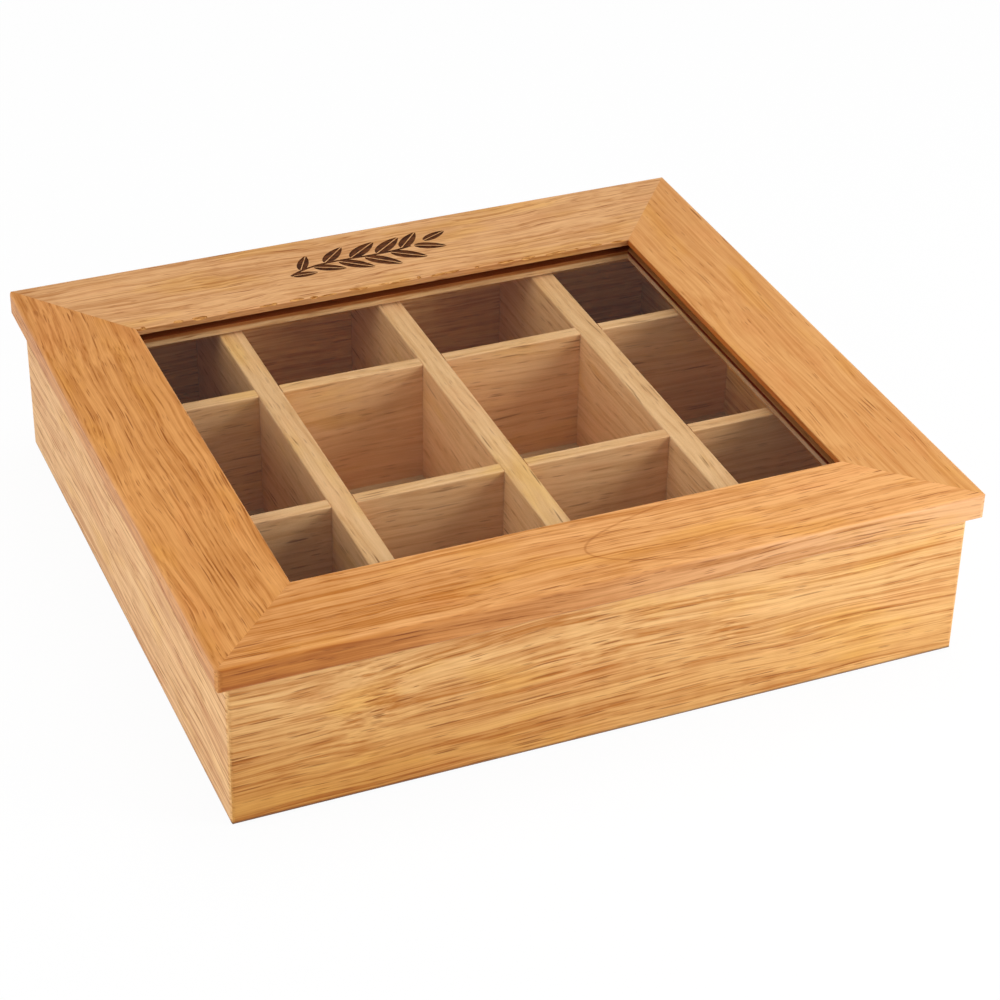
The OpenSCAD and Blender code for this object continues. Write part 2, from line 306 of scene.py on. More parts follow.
def hardwood_figure():
    """The wood of every board as a group: growth rings about the heart of the tree,
    wandering fibres, and pores cut lengthwise. Lengths are in millimetres."""
    tree = bpy.data.node_groups.new("hardwood_figure", "ShaderNodeTree")
    for name, kind in (
        ("Grain", "Vector"),
        ("Seed", "Vector"),
        ("Heart", "Vector"),
        ("Taper", "Float"),
        ("Ring width", "Float"),
        ("Pale", "Color"),
        ("Deep", "Color"),
        ("Pore", "Color"),
        ("Contrast", "Float"),
        ("Fade", "Float"),
        ("Waves", "Float"),
        ("Pores", "Float"),
        ("Streaks", "Float"),
    ):
        tree.interface.new_socket(name, in_out="INPUT", socket_type="NodeSocket" + kind)
    for name, kind in (("Colour", "Color"), ("Roughness", "Float"), ("Height", "Float")):
        tree.interface.new_socket(name, in_out="OUTPUT", socket_type="NodeSocket" + kind)
    given = shade(tree, "NodeGroupInput").outputs
    place = given["Grain"]
    seeded = vector_calc(tree, "ADD", place, given["Seed"])

    def stretched(start, along, across, detail=2.0, roughness=0.5):
        """Noise drawn out along the grain, with its two lengths in millimetres."""
        scale = (1 / along, 1 / across, 1 / across)
        return noise(tree, vector_calc(tree, "MULTIPLY", start, scale), detail, roughness)

    # The fibres wander slowly, and a little at close range
    slow = stretched(seeded, *SLOW_BENDS)["Color"]
    close = stretched(seeded, *CLOSE_BENDS)["Color"]
    drift = vector_calc(tree, "SUBTRACT", slow, (0.5, 0.5, 0.5))
    drift = vector_calc(tree, "MULTIPLY", drift, (0.0, SLOW_REACH, SLOW_REACH))
    ripple = vector_calc(tree, "SUBTRACT", close, (0.5, 0.5, 0.5))
    ripple = vector_calc(tree, "MULTIPLY", ripple, (0.0, CLOSE_REACH, CLOSE_REACH))
    sideways = triple(tree, 0.0, given["Waves"], given["Waves"])
    ripple = vector_calc(tree, "MULTIPLY", ripple, sideways)
    wander = vector_calc(tree, "ADD", drift, ripple)
    fibre_place = vector_calc(tree, "ADD", seeded, wander)
    ring_place = vector_calc(tree, "ADD", place, wander)

    # Growth rings: distance from the heart, changing slowly along the trunk
    from_heart = vector_calc(tree, "SUBTRACT", ring_place, given["Heart"])
    across = vector_calc(tree, "MULTIPLY", from_heart, (0.0, 1.0, 1.0))
    radius = vector_calc(tree, "LENGTH", across, output="Value")
    along = shade(tree, "ShaderNodeSeparateXYZ", {0: from_heart}).outputs[0]
    radius = calc(tree, "MULTIPLY_ADD", along, given["Taper"], radius)
    rings = shade(
        tree,
        "ShaderNodeTexNoise",
        {
            "W": calc(tree, "DIVIDE", radius, given["Ring width"]),
            "Scale": 1.0,
            "Detail": 2.0,
            "Roughness": 0.55,
        },
        noise_dimensions="1D",
    ).outputs[0]

    # Bands, grain lines and fine fibres, each with soft edges
    cloud = stretched(seeded, *CLOUDS)[0]
    lines = stretched(fibre_place, *LINES, detail=3.0, roughness=0.6)[0]
    fibres = stretched(fibre_place, *FIBRES)[0]
    shimmer = stretched(seeded, *SHIMMER)[0]
    dark_lines = step(tree, lines, 0.40, 0.66)
    tone = calc(tree, "MULTIPLY_ADD", step(tree, rings, 0.32, 0.70), RING_TONE, LEAST_TONE)
    tone = calc(tree, "MULTIPLY_ADD", step(tree, cloud, 0.30, 0.70), CLOUD_TONE, tone)
    tone = calc(tree, "MULTIPLY_ADD", dark_lines, LINE_TONE, tone)
    tone = calc(tree, "MULTIPLY_ADD", step(tree, fibres, 0.34, 0.66), FIBRE_TONE, tone)
    shimmer = calc(tree, "SUBTRACT", shimmer, 0.5)
    tone = calc(tree, "MULTIPLY_ADD", shimmer, SHIMMER_TONE, tone)
    tone = calc(tree, "SUBTRACT", tone, 0.5)
    tone = calc(tree, "MULTIPLY_ADD", tone, given["Contrast"], 0.5)
    # Painted light: the tone turns paler along the grain, towards the board's lit end
    light_faded = calc(tree, "MULTIPLY", along, given["Fade"])
    tone = calc(tree, "SUBTRACT", tone, light_faded, clamp=True)
    colour = blend(tree, tone, given["Pale"], given["Deep"])

    # Cloudy patches, honey yellow in one place and a little rosy in another
    patch = stretched(seeded, *PATCHES, detail=3.0)[1]
    hues = shade(tree, "ShaderNodeSeparateColor", {0: patch}).outputs
    honey = calc(tree, "MULTIPLY", step(tree, hues[0], *PATCH_EDGES), HONEY_SHARE)
    rosy = calc(tree, "MULTIPLY", step(tree, hues[1], *PATCH_EDGES), ROSY_SHARE)
    colour = blend(tree, honey, colour, HONEY, mode="MULTIPLY")
    colour = blend(tree, rosy, colour, ROSY, mode="MULTIPLY")

    # Pores: long cells with a thin core, crowded where the grain lines are dark
    def pore_layer(length, width, core, share):
        scale = (1 / length, 1 / width, 1 / width)
        cell = shade(
            tree,
            "ShaderNodeTexVoronoi",
            {"Vector": vector_calc(tree, "MULTIPLY", fibre_place, scale), "Scale": 1.0},
        ).outputs
        chance = shade(tree, "ShaderNodeSeparateColor", {0: cell["Color"]}).outputs
        edge = calc(tree, "ADD", share, 0.10)
        here = step(tree, chance[0], share, edge, 1.0, 0.0)
        depth = calc(tree, "MULTIPLY_ADD", chance[1], 0.6, 0.4)
        thin = step(tree, cell["Distance"], core * 0.5, core, 1.0, 0.0)
        return calc(tree, "MULTIPLY", calc(tree, "MULTIPLY", here, thin), depth)

    crowd = calc(tree, "MULTIPLY_ADD", step(tree, lines, 0.42, 0.62), 0.75, 0.25)
    long_pores = pore_layer(*LONG_PORES, calc(tree, "MULTIPLY", given["Streaks"], crowd))
    fine_pores = pore_layer(*FINE_PORES, calc(tree, "MULTIPLY", given["Pores"], crowd))
    fine_pores = calc(tree, "MULTIPLY", fine_pores, FINE_PORE_DEPTH)
    pores = calc(tree, "MAXIMUM", long_pores, fine_pores)
    dark = calc(tree, "MULTIPLY", pores, PORE_DARKNESS)
    colour = blend(tree, dark, colour, given["Pore"])

    # Arrises, which hands have worn: they alone have slanting normals
    normal = shade(tree, "ShaderNodeTexCoord").outputs["Normal"]
    sides = shade(
        tree, "ShaderNodeSeparateXYZ", {0: vector_calc(tree, "ABSOLUTE", normal)}
    ).outputs
    squarest = calc(tree, "MAXIMUM", calc(tree, "MAXIMUM", sides[0], sides[1]), sides[2])
    arris = step(tree, squarest, *ARRIS_SLANT, 1.0, 0.0)
    worn = calc(tree, "MULTIPLY", arris, calc(tree, "MULTIPLY_ADD", cloud, 0.5, 0.05))
    colour = blend(tree, worn, colour, given["Pale"])

    rough = calc(tree, "MULTIPLY_ADD", fibres, FIBRE_ROUGHNESS, LEAST_ROUGHNESS)
    rough = calc(tree, "MULTIPLY_ADD", pores, PORE_ROUGHNESS, rough)
    rough = calc(tree, "MULTIPLY_ADD", worn, WORN_ROUGHNESS, rough, clamp=True)
    raised = calc(tree, "MULTIPLY", fibres, 0.3)
    raised = calc(tree, "MULTIPLY_ADD", dark_lines, -0.25, raised)
    height = calc(tree, "MULTIPLY_ADD", pores, -1.0, raised)
    shade(
        tree, "NodeGroupOutput", {"Colour": colour, "Roughness": rough, "Height": height}
    )
    return tree


figure = hardwood_figure()


def board(
    name,
    along,
    seed,
    pale,
    deep,
    pore,
    heart=(0.0, 20.0, -70.0),
    taper=0.02,
    ring_width=4.0,
    contrast=1.0,
    fade=0.0,
    waves=1.0,
    pores=0.7,
    streaks=0.6,
    slope=0.0,
    shine=0.3,
    marks=(),
):
    """One board's own material. Its grain runs along X or Y, turned by slope degrees,
    heart is where the middle of the tree lay, in millimetres, as seen along it, its
    light fade is a painted light, how much paler it gets in a metre towards its lit
    end, and marks are the traces of its making and use, and painted shade and light."""
    made = bpy.data.materials.new(name)
    made.use_nodes = True
    tree = made.node_tree
    turn = math.radians(slope) - (math.pi / 2 if along == "Y" else 0.0)
    object_place = shade(tree, "ShaderNodeTexCoord").outputs["Object"]
    place = shade(
        tree,
        "ShaderNodeMapping",
        {"Vector": object_place, "Rotation": (0.0, 0.0, turn), "Scale": (MM, MM, MM)},
    ).outputs[0]
    wood = shade(tree, "ShaderNodeGroup", node_tree=figure)
    tree.links.new(place, wood.inputs["Grain"])
    for key, value in (
        ("Seed", (seed * 137.0, seed * 71.0, seed * 53.0)),
        ("Heart", heart),
        ("Taper", taper),
        ("Ring width", ring_width),
        ("Contrast", contrast),
        ("Fade", fade / MM),
        ("Waves", waves),
        ("Pale", pale),
        ("Deep", deep),
        ("Pore", pore),
        ("Pores", pores),
        ("Streaks", streaks),
    ):
        wood.inputs[key].default_value = value
    bump = shade(tree, "ShaderNodeBump", {**RELIEF, "Height": wood.outputs["Height"]})
    colour = wood.outputs["Colour"]
    on = shade(tree, "ShaderNodeSeparateXYZ", {0: spot_on(tree)}).outputs
    for mark in marks:
        colour = mark(tree, colour, *on)
    finish = tree.nodes["Principled BSDF"]
    tree.links.new(colour, finish.inputs["Base Color"])
    tree.links.new(wood.outputs["Roughness"], finish.inputs["Roughness"])
    tree.links.new(bump.outputs[0], finish.inputs["Normal"])
    finish.inputs["Specular IOR Level"].default_value = shine
    return made


# Painted shade on the eased edge at the foot of every wall
FOOT_SHADE = (0.22, 0.18, 0.15, 1.0)
FOOT_SHADE_RISE = (0.8, 2.6)
UNSHADED_UNDERSIDE = (0.02, 0.1)
# Painted shade at the front wall's left end, strongest near its foot
END_SHADE = (0.82, 0.67, 0.34, 1.0)
END_SHADE_REACH = (-165.0, 60.0)
END_SHADE_RISE = (0.0, 60.0)


def foot_painted_shade(tree, colour, x, y, z):
    """Painted shade on the eased edge at the foot, where the box meets the floor; the flat
    underside is left out.
    """
    low = step(tree, z, *FOOT_SHADE_RISE, 1.0, 0.0)
    share = calc(tree, "MULTIPLY", low, step(tree, z, *UNSHADED_UNDERSIDE))
    return blend(tree, share, colour, FOOT_SHADE, mode="MULTIPLY")


def end_painted_shade(tree, colour, x, y, z):
    """Painted shade: the board is darker towards its left end, most of all towards its
    foot, away from the light.
    """
    ahead = step(tree, x, *END_SHADE_REACH, 1.0, 0.45)
    share = calc(tree, "MULTIPLY", ahead, step(tree, z, *END_SHADE_RISE, 1.0, 0.1))
    return blend(tree, share, colour, END_SHADE, mode="MULTIPLY")


def finish_node(node, material):
    """Gives a CAD piece its material."""
    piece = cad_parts[node]
    if not piece.data.materials:
        piece.data.materials.append(material)
    for place in piece.material_slots:
        place.material = material


WALL_PALE = paint(238, 190, 126)
WALL_DEEP = paint(186, 116, 42)
WALL_PORE = paint(138, 74, 12)
for name, along, seed, heart, slope, fade, streaks, marks in (
    ("wall_front", "X", 1.0, (0.0, -60.0, 30.0), 0.0, 0.3, 0.8, (end_painted_shade, foot_painted_shade)),
    ("wall_back", "X", 2.3, (0.0, 60.0, 10.0), 0.6, 0.0, 0.8, (foot_painted_shade,)),
    ("wall_left", "Y", 3.7, (0.0, 70.0, 50.0), 0.4, 0.0, 0.5, (foot_painted_shade,)),
    ("wall_right", "Y", 5.1, (0.0, -80.0, 20.0), -0.5, 0.0, 0.8, (foot_painted_shade,)),
):
    finish_node(
        name,
        board(name, along, seed, WALL_PALE, WALL_DEEP, WALL_PORE, heart=heart, slope=slope,
              contrast=1.4, fade=fade, waves=0.4, streaks=streaks, pores=0.6, marks=marks),
    )

# Splines
# Loose tongues of plain wood, glued into slots across every mitre of the case and the
# lid. They are shut in, and show at no joint.
SPLINE_PALE = paint(214, 184, 140)
SPLINE_DEEP = paint(186, 150, 104)
SPLINE_PORE = paint(120, 84, 50)
splines = board("spline_beech", "X", 8.2, SPLINE_PALE, SPLINE_DEEP, SPLINE_PORE)
finish_node("wall_mitre_splines", splines)
finish_node("lid_mitre_splines", splines)

# Bottom panel
# A sheet of thin plywood, let into a groove round the walls and left bare. Its peeled
# face veneer has wide, cloudy growth rings.
finish_node(
    "bottom_panel",
    board(
        "bottom_veneer",
        "X",
        9.4,
        paint(224, 196, 150),
        paint(196, 158, 108),
        paint(140, 100, 60),
        heart=(0.0, 30.0, -14.0),
        taper=0.06,
        ring_width=5.0,
        pores=0.4,
        streaks=0.12,
        shine=0.25,
    ),
)

# Dividers
# Three thick boards run front to back and two thin ones cross them in half laps. All
# are planed, left without oil, and slid into housings in the walls.
DIVIDER_PALE = paint(241, 194, 142)
DIVIDER_DEEP = paint(208, 153, 93)
DIVIDER_PORE = paint(130, 80, 34)
for name, along, seed in (
    ("divider_long_left", "Y", 11.0),
    ("divider_long_middle", "Y", 12.6),
    ("divider_long_right", "Y", 13.9),
    ("divider_cross_front", "X", 15.2),
    ("divider_cross_back", "X", 16.8),
):
    finish_node(
        name,
        board(name, along, seed, DIVIDER_PALE, DIVIDER_DEEP, DIVIDER_PORE,
              heart=(0.0, 40.0, -50.0), pores=0.45, streaks=0.25, shine=0.25),
    )

# Front and side rails of the lid
# Flat rails of the same oiled hardwood, a shade redder, mitred and splined, with a
# groove inside that holds the pane. The grain turns at each mitre.
RAIL_PORE = paint(134, 68, 14)
LID_FOOT = 69.3
LID_THICK = 12.0
GROOVE_REACH = (-128.6, 128.6, -118.1, 107.1)
PLAIN = (1.0, 1.0, 1.0, 1.0)
# Bands of painted shade and highlight on the edges round the window, as shares of the
# rail's thickness
PLAIN_BELOW = 0.005
BED = (0.015, 0.20)
LOWER_LIP_TOP = (0.27, 0.385)
GROOVE = (0.395, 0.735)
LIP = (0.745, 0.94)
PLAIN_ABOVE = 0.98
BAND_BLUR = 0.1
# The front rail's sawn edge, with its painted shade and sheen, and the growth ring on its
# top, with places in millimetres
FACE_LEFT = (0.77, 0.59, 0.28, 1.0)
FACE_RIGHT = (0.97, 1.06, 1.36, 1.0)
FACE_REACH = (-170.0, 150.0)
FACE_DEPTH = (-156.9, -155.4)
LOOP_PLACE = (5.5, 135.0)
LOOP_WIDTH = 9.5
LOOP_LINE = (0.1, 0.9)
LOOP_DARKNESS = 0.6
LOOP_END = (25.0, 60.0)
LOOP_TINT = (0.66, 0.50, 0.30, 1.0)
RAIL_TOP = (81.0, 81.2)


def window_edge_shading(lip, groove, lower_lip_top_tint, bed):
    """The edges round the window, tinted in bands by height in the rail: the upper lip, the
    groove, and under it the lower lip at its top and at its foot. Darker tints are painted
    shade and paler ones painted highlight."""

    def mark(tree, colour, x, y, z):
        west, east, south, north = GROOVE_REACH
        height = calc(tree, "DIVIDE", calc(tree, "SUBTRACT", z, LID_FOOT), LID_THICK)
        bands = shade(tree, "ShaderNodeValToRGB", {0: height})
        points = bands.color_ramp.elements
        stops = [(PLAIN_BELOW, PLAIN)]
        for band, tint in ((BED, bed), (LOWER_LIP_TOP, lower_lip_top_tint), (GROOVE, groove), (LIP, lip)):
            stops += [(place, tint) for place in band]
        stops.append((PLAIN_ABOVE, PLAIN))
        while len(points) < len(stops):
            points.new(1.0)
        for point, (place, tint) in zip(points, stops):
            point.position = place
            point.color = tint
        share = 1.0
        for value, low, high in ((x, west, east), (y, south, north)):
            for edge, inner, outer in ((low, 0.0, 1.0), (high, 1.0, 0.0)):
                side = step(tree, value, edge - BAND_BLUR, edge + BAND_BLUR, inner, outer)
                share = calc(tree, "MULTIPLY", share, side)
        return blend(tree, share, colour, bands.outputs[0], mode="MULTIPLY")

    return mark


def front_face_shade_and_sheen(tree, colour, x, y, z):
    """Painted shade and sheen on the front rail's sawn edge: darker and deeper in tone at
    its left end, paler and bluer at its right, where the light falls.
    """
    tint = blend(tree, step(tree, x, *FACE_REACH), FACE_LEFT, FACE_RIGHT)
    face = step(tree, y, *FACE_DEPTH, 1.0, 0.0)
    return blend(tree, face, colour, tint, mode="MULTIPLY")


def ring_loop(tree, colour, x, y, z):
    """One growth ring that comes to the top of the front rail in a long loop."""
    aside = calc(tree, "ADD", y, LOOP_PLACE[1])
    ahead = calc(tree, "ADD", x, LOOP_PLACE[0])
    bulge = calc(tree, "MULTIPLY", ahead, -LOOP_WIDTH)
    field = calc(tree, "MULTIPLY_ADD", aside, aside, bulge)
    steep = calc(tree, "MULTIPLY", aside, 2.0)
    steep = calc(tree, "SQRT", calc(tree, "MULTIPLY_ADD", steep, steep, LOOP_WIDTH**2))
    off = calc(tree, "ABSOLUTE", calc(tree, "DIVIDE", field, steep))
    line = step(tree, off, *LOOP_LINE, LOOP_DARKNESS, 0.0)
    line = calc(tree, "MULTIPLY", line, step(tree, x, *LOOP_END, 1.0, 0.0))
    line = calc(tree, "MULTIPLY", line, step(tree, z, *RAIL_TOP))
    return blend(tree, line, colour, LOOP_TINT, mode="MULTIPLY")


# Painted shade on the side rails' upper lip and lower lip top, and a painted highlight at
# its foot
side_edge = window_edge_shading(
    lip=(0.80, 0.52, 0.32, 1.0),
    groove=(1.0, 0.95, 1.0, 1.0),
    lower_lip_top_tint=(0.12, 0.0, 0.0, 1.0),
    bed=(0.72, 1.0, 2.0, 1.0),
)
# Painted shade on the front and back rails' lip, groove and lower lip top, and a painted
# highlight at its foot
end_edge = window_edge_shading(
    lip=(0.83, 0.76, 0.70, 1.0),
    groove=(0.26, 0.03, 0.0, 1.0),
    lower_lip_top_tint=(0.52, 0.34, 0.22, 1.0),
    bed=(1.0, 1.18, 1.4, 1.0),
)
for name, along, seed, pale, deep, heart, taper, contrast, fade, pores, streaks, marks in (
    ("rail_front", "X", 21.0, paint(229, 167, 103), paint(182, 111, 40),
     (0.0, -190.0, 20.0), 0.03, 1.3, 1.5, 0.7, 0.5, (end_edge, front_face_shade_and_sheen, ring_loop)),
    ("rail_left", "Y", 24.1, paint(219, 154, 86), paint(174, 104, 34),
     (0.0, 150.0, 10.0), 0.03, 1.3, 0.0, 0.8, 0.8, (side_edge,)),
    ("rail_right", "Y", 25.8, paint(220, 162, 98), paint(188, 120, 55),
     (40.0, -145.0, 30.0), -0.06, 1.0, 0.0, 0.35, 0.12, (side_edge,)),
):
    finish_node(
        name,
        board(name, along, seed, pale, deep, RAIL_PORE, heart=heart, taper=taper,
              contrast=contrast, fade=fade, waves=0.8, pores=pores, streaks=streaks,
              marks=marks),
    )

# Back rail of the lid
# The widest rail, which carries the hinges. A plain sprig of leaves is burnt into its
# top, and the saw has left small chips along its arris at the window.
SPRIG_PLACE = (-0.006, 0.1305)
SPRIG_LENGTH = 0.070
SPRIG_SWAY = 0.007
STEM_WIDTH = 0.0014
STEM_SHOWN = 0.9
LEAF_COUNT = 12
LEAF_LENGTH = 0.019
LEAF_WIDTH = 0.0034
LEAF_RIB = 0.0006
LEAF_TURN = 0.66
LEAF_POINT = 1.3
LEAF_BELLY = 1.7
LEAF_SWELL = 0.35
BURN_DEPTH = 0.0004
BURN_CLEAR = 0.0003
CHIP_COUNT = 30
CHIP_SIZE = (0.0034, 0.0011, 0.0009)
CHIP_SPREAD = (2.0, 0.3, 0.3)
CHIP_TURN = (0.15, 0.06, 0.08)
CHIP_LEAST = (0.3, 0.4, 0.4)
CHIP_MOST = (1.7, 1.3, 1.2)
CHIP_SEED = 4
CHIP_INSET = 0.0001
WINDOW_HALF = 0.1225
WELD = 1e-6


def plant(name, inputs):
    """A Geometry Nodes tree with named inputs, and where they come in."""
    tree = bpy.data.node_groups.new(name, "GeometryNodeTree")
    for title, kind in inputs:
        tree.interface.new_socket(title, in_out="INPUT", socket_type="NodeSocket" + kind)
    tree.interface.new_socket("Geometry", in_out="OUTPUT", socket_type="NodeSocketGeometry")
    return tree, shade(tree, "NodeGroupInput").outputs


def end_tree(tree, pieces, material):
    """Makes instances real, gives them their material, and hands them out."""
    real = shade(tree, "GeometryNodeRealizeInstances", {"Geometry": pieces}).outputs[0]
    dressed = shade(
        tree, "GeometryNodeSetMaterial", {"Geometry": real, "Material": material}
    ).outputs[0]
    shade(tree, "NodeGroupOutput", {0: dressed})


def merge(tree, *pieces):
    """Several pieces of geometry as one."""
    joined = shade(tree, "GeometryNodeJoinGeometry")
    for piece in pieces:
        tree.links.new(piece, joined.inputs[0])
    return joined.outputs[0]


def chance(tree, low, high, seed, kind="FLOAT"):
    """A random number or vector for each point, always the same ones."""
    made = shade(tree, "FunctionNodeRandomValue", data_type=kind)
    sockets = [socket for socket in made.inputs if socket.enabled]
    for socket, value in zip(sockets[:2], (low, high)):
        if isinstance(value, bpy.types.NodeSocket):
            tree.links.new(value, socket)
        else:
            socket.default_value = value
    seeded = made.inputs["Seed"]
    if isinstance(seed, bpy.types.NodeSocket):
        tree.links.new(seed, seeded)
    else:
        seeded.default_value = seed
    return [socket for socket in made.outputs if socket.enabled][0]


def own_mesh(piece):
    """Turns what the modifiers make into the piece's own mesh, and takes them off."""
    depsgraph = bpy.context.evaluated_depsgraph_get()
    shown = piece.evaluated_get(depsgraph)
    finished = bpy.data.meshes.new_from_object(shown, depsgraph=depsgraph)
    piece.modifiers.clear()
    piece.data = finished
    return piece


def grow(name, tree, **values):
    """A piece that a Geometry Nodes tree fills, as a plain mesh."""
    piece = bpy.data.objects.new(name, bpy.data.meshes.new(name))
    scene.collection.objects.link(piece)
    grower = piece.modifiers.new("grower", "NODES")
    grower.node_group = tree
    for item in tree.interface.items_tree:
        title = item.name.lower().replace(" ", "_")
        if item.item_type == "SOCKET" and item.in_out == "INPUT" and title in values:
            grower[item.identifier] = values[title]
    return own_mesh(piece)


def soften(piece, sharp_angle=math.radians(35)):
    """Smooth round its bends and flat on its flats, with its sharp edges kept."""
    work = bmesh.new()
    work.from_mesh(piece.data)
    for face in work.faces:
        face.smooth = True
    for edge in work.edges:
        edge.smooth = edge.is_manifold and edge.calc_face_angle() < sharp_angle
    work.to_mesh(piece.data)
    work.free()
    weigher = piece.modifiers.new("weigher", "WEIGHTED_NORMAL")
    weigher.keep_sharp = True
    weigher.weight = 100
    return own_mesh(piece)


def leaf_sprig():
    """Flat leaves in pairs of halves along a swaying stem, a bare rib between them."""
    tree, given = plant(
        "leaf_sprig",
        (
            ("Length", "Float"),
            ("Sway", "Float"),
            ("Stem width", "Float"),
            ("Leaves", "Int"),
            ("Leaf length", "Float"),
            ("Leaf width", "Float"),
            ("Rib", "Float"),
            ("Turn", "Float"),
            ("Thickness", "Float"),
            ("Place", "Vector"),
            ("Material", "Material"),
        ),
    )
    half = calc(tree, "MULTIPLY", given["Length"], 0.5)
    back = calc(tree, "MULTIPLY", half, -1.0)
    sway = given["Sway"]
    dip = calc(tree, "MULTIPLY", sway, -1.0)
    stem = shade(
        tree,
        "GeometryNodeCurvePrimitiveBezierSegment",
        {
            "Resolution": 24,
            "Start": triple(tree, back, dip),
            "Start Handle": triple(tree, calc(tree, "MULTIPLY", back, 0.45), sway),
            "End Handle": triple(tree, calc(tree, "MULTIPLY", half, 0.30), dip),
            "End": triple(tree, half, calc(tree, "MULTIPLY", sway, 0.6)),
        },
    ).outputs[0]

    # The stem: a flat strip that thins towards its tip
    along = shade(tree, "GeometryNodeSplineParameter").outputs["Factor"]
    upright = shade(
        tree, "GeometryNodeSetCurveNormal", {"Curve": stem}, mode="Z_UP"
    ).outputs[0]
    strip = shade(
        tree,
        "GeometryNodeCurvePrimitiveQuadrilateral",
        {"Width": given["Stem width"], "Height": given["Thickness"]},
    ).outputs[0]
    trimmed = shade(
        tree, "GeometryNodeTrimCurve", {"Curve": upright, "Start": 0.0, "End": STEM_SHOWN}
    ).outputs[0]
    stalk = shade(
        tree,
        "GeometryNodeCurveToMesh",
        {"Curve": trimmed, "Profile Curve": strip, "Fill Caps": True},
    ).outputs[0]

    # Half a leaf: a disc drawn out to a point at each end, and flat along the rib
    disc = shade(
        tree,
        "GeometryNodeMeshCylinder",
        {"Vertices": 32, "Radius": 1.0, "Depth": given["Thickness"]},
    ).outputs[0]
    corner = shade(tree, "GeometryNodeInputPosition").outputs[0]
    on = shade(tree, "ShaderNodeSeparateXYZ", {0: corner}).outputs
    length_share = calc(tree, "MULTIPLY_ADD", on[0], 0.5, 0.5)
    pointed = calc(tree, "POWER", length_share, LEAF_POINT)
    reach = calc(tree, "MULTIPLY", pointed, given["Leaf length"])
    belly = calc(tree, "POWER", calc(tree, "MAXIMUM", on[1], 0.0), LEAF_BELLY)
    belly = calc(tree, "MULTIPLY", belly, given["Leaf width"])
    side = calc(tree, "MULTIPLY_ADD", given["Rib"], 0.5, belly)
    gap = calc(tree, "MULTIPLY", given["Stem width"], 0.9)
    blade = shade(
        tree,
        "GeometryNodeSetPosition",
        {
            "Geometry": disc,
            "Position": triple(tree, calc(tree, "ADD", reach, gap), side, on[2]),
        },
    ).outputs[0]
    other = shade(
        tree, "GeometryNodeTransform", {"Geometry": blade, "Scale": (1.0, -1.0, 1.0)}
    ).outputs[0]
    other = shade(tree, "GeometryNodeFlipFaces", {0: other}).outputs[0]
    leaf = merge(tree, blade, other)

    # Leaves turn left and right by turns, and the last one ends the stem
    nodes = shade(
        tree, "GeometryNodeCurveToPoints", {"Curve": stem, "Count": given["Leaves"]}
    ).outputs
    count = shade(tree, "GeometryNodeInputIndex").outputs[0]
    parity = calc(tree, "MODULO", count, 2.0)
    turn = calc(tree, "MULTIPLY_ADD", parity, 2.0, -1.0)
    turn = calc(tree, "MULTIPLY", turn, given["Turn"])
    last = calc(tree, "GREATER_THAN", count, calc(tree, "SUBTRACT", given["Leaves"], 1.5))
    turn = calc(tree, "MULTIPLY", turn, calc(tree, "SUBTRACT", 1.0, last))
    facing = shade(
        tree, "FunctionNodeAlignRotationToVector", {"Vector": nodes["Tangent"]}, axis="X",
        pivot_axis="Z",
    ).outputs[0]
    bend = shade(
        tree, "FunctionNodeEulerToRotation", {0: triple(tree, 0.0, 0.0, turn)}
    ).outputs[0]
    facing = shade(
        tree, "FunctionNodeRotateRotation", {"Rotation": facing, "Rotate By": bend}
    ).outputs[0]
    share = calc(tree, "DIVIDE", count, given["Leaves"])
    swell = calc(tree, "SINE", calc(tree, "MULTIPLY", share, math.pi))
    swell = calc(tree, "MULTIPLY_ADD", swell, LEAF_SWELL, 1.0 - LEAF_SWELL)
    leaves = shade(
        tree,
        "GeometryNodeInstanceOnPoints",
        {
            "Points": nodes["Points"],
            "Instance": leaf,
            "Rotation": facing,
            "Scale": triple(tree, swell, swell, 1.0),
        },
    ).outputs[0]
    placed = shade(
        tree,
        "GeometryNodeTransform",
        {"Geometry": merge(tree, stalk, leaves), "Translation": given["Place"]},
    ).outputs[0]
    end_tree(tree, placed, given["Material"])
    return tree


def arris_chips():
    """Small splinter-shaped lumps, scattered along a line, to be cut out of an edge."""
    tree, given = plant(
        "arris_chips",
        (
            ("Count", "Int"),
            ("Start", "Vector"),
            ("End", "Vector"),
            ("Size", "Vector"),
            ("Seed", "Int"),
            ("Material", "Material"),
        ),
    )
    line = shade(
        tree,
        "GeometryNodeMeshLine",
        {"Count": given["Count"], "Start Location": given["Start"], "Offset": given["End"]},
        mode="END_POINTS",
    ).outputs[0]
    spread = vector_calc(tree, "MULTIPLY", given["Size"], CHIP_SPREAD)
    scattered = shade(
        tree,
        "GeometryNodeSetPosition",
        {
            "Geometry": line,
            "Offset": chance(
                tree,
                vector_calc(tree, "MULTIPLY", spread, (-1.0, -1.0, -1.0)),
                spread,
                given["Seed"],
                "FLOAT_VECTOR",
            ),
        },
    ).outputs[0]
    splinter = shade(
        tree, "GeometryNodeMeshIcoSphere", {"Radius": 1.0, "Subdivisions": 2}
    ).outputs[0]
    chips = shade(
        tree,
        "GeometryNodeInstanceOnPoints",
        {
            "Points": scattered,
            "Instance": splinter,
            "Rotation": chance(
                tree, [-turn for turn in CHIP_TURN], CHIP_TURN, 7, "FLOAT_VECTOR"
            ),
            "Scale": vector_calc(
                tree,
                "MULTIPLY",
                given["Size"],
                chance(tree, CHIP_LEAST, CHIP_MOST, 8, "FLOAT_VECTOR"),
            ),
        },
    ).outputs[0]
    end_tree(tree, chips, given["Material"])
    return tree


